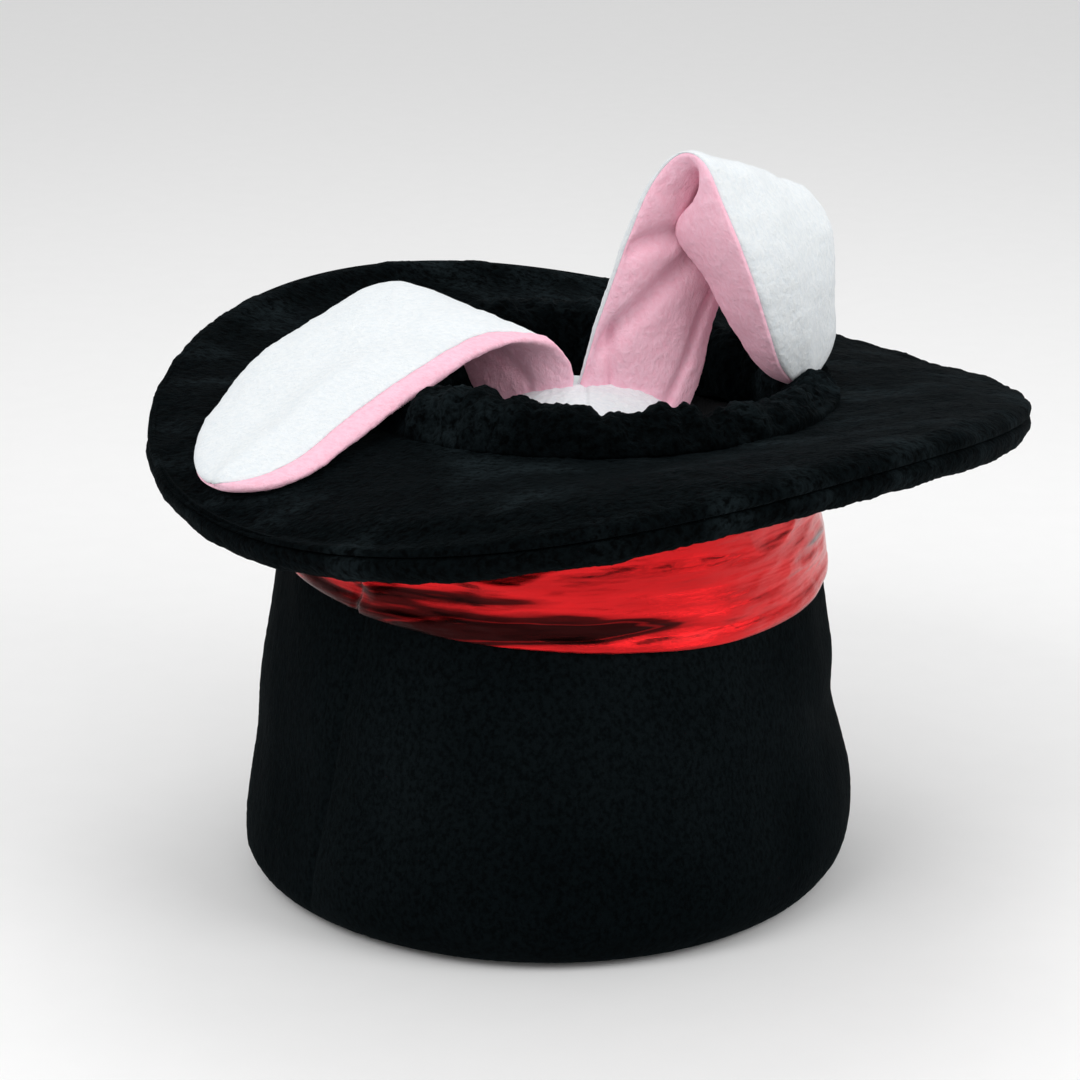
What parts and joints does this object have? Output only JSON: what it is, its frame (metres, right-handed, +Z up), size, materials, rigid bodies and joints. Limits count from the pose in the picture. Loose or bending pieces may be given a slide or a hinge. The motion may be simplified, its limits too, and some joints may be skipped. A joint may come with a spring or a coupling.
{
  "type": "rabbit in hat glove puppet",
  "caption": "Plush top hat standing on its crown with a shiny band and a wide wavy brim; a white rabbit glove puppet inside rises through the gathered mouth.",
  "frame": {"origin": "centre of the crown's flat tip, on the surface the hat stands on", "axes": "+Z up through the mouth, +X along the longer half of the brim, -Y the way the rabbit faces"},
  "size_m": [0.29, 0.264, 0.247],
  "materials": {
    "black_plush": "short pile plush, near black",
    "red_lame": "shiny foil-coated knit",
    "white_plush": "short pile plush",
    "pink_plush": "short pile plush",
    "foam": "open-cell foam sheet",
    "lining": "woven lining",
    "elastic": "braided elastic",
    "stuffing": "polyester fibre",
    "eye": "polished bead",
    "washer": "moulded"
  },
  "bodies": {
    "hat": {"crown_tip": "black_plush", "tip_stiffener": "foam", "hand_opening_binding": "lining", "crown_side": "black_plush", "crown_foam": "foam", "crown_lining": "lining", "hat_band": "red_lame", "brim_top_cover": "black_plush", "brim_foam": "foam", "brim_under_cover": "black_plush", "mouth_collar": "black_plush", "mouth_elastic": "elastic"},
    "rabbit": {"head_cover": "white_plush", "head_stuffing": "stuffing", "finger_pocket": "lining", "left_eye": "eye", "right_eye": "eye", "left_eye_washer": "washer", "right_eye_washer": "washer", "nose": "pink_plush", "torso_sleeve": "white_plush", "sleeve_skirt": "lining"},
    "left_arm": {"left_arm_cover": "white_plush", "left_arm_stuffing": "stuffing", "left_arm_paw_pad": "pink_plush"},
    "right_arm": {"right_arm_cover": "white_plush", "right_arm_stuffing": "stuffing", "right_arm_paw_pad": "pink_plush"},
    "left_ear_base": {"left_ear_base_back": "white_plush", "left_ear_base_wadding": "stuffing", "left_ear_base_front": "pink_plush", "left_ear_fold_roll": "white_plush"},
    "left_ear_tip": {"left_ear_tip_back": "white_plush", "left_ear_tip_wadding": "stuffing", "left_ear_tip_front": "pink_plush"},
    "right_ear_base": {"right_ear_base_back": "white_plush", "right_ear_base_wadding": "stuffing", "right_ear_base_front": "pink_plush", "right_ear_fold_roll": "white_plush"},
    "right_ear_tip": {"right_ear_tip_back": "white_plush", "right_ear_tip_wadding": "stuffing", "right_ear_tip_front": "pink_plush"}
  },
  "joints": [
    {"name": "rabbit_rise", "type": "slide", "parent": "hat", "child": "rabbit", "axis": [0, 0, 1], "range_m": [0, 0.12], "deforming": ["sleeve_skirt"]},
    {"name": "left_arm_swing", "type": "hinge", "parent": "rabbit", "child": "left_arm", "pos_m": [-0.022, 0.004, 0.072], "axis": [0, 1, 0], "range_deg": [0, 65]},
    {"name": "right_arm_swing", "type": "hinge", "parent": "rabbit", "child": "right_arm", "pos_m": [0.046, 0.004, 0.072], "axis": [0, -1, 0], "range_deg": [0, 50]},
    {"name": "left_ear_lift", "type": "hinge", "parent": "rabbit", "child": "left_ear_base", "pos_m": [-0.0097, 0.006, 0.163], "axis": [-0.835, 0.4867, -0.2568], "range_deg": [0, 25]},
    {"name": "left_ear_unfold", "type": "hinge", "parent": "left_ear_base", "child": "left_ear_tip", "pos_m": [-0.01759, 0.00929, 0.19487], "axis": [-0.8667, 0.4918, 0.0838], "range_deg": [0, 107.6]},
    {"name": "right_ear_lift", "type": "hinge", "parent": "rabbit", "child": "right_ear_base", "pos_m": [0.0265, 0.008, 0.159], "axis": [-0.766, -0.5156, 0.384], "range_deg": [0, 20]},
    {"name": "right_ear_unfold", "type": "hinge", "parent": "right_ear_base", "child": "right_ear_tip", "pos_m": [0.06182, 0.0122, 0.2351], "axis": [-0.8589, -0.5055, 0.0826], "range_deg": [0, 157.8]}
  ]
}
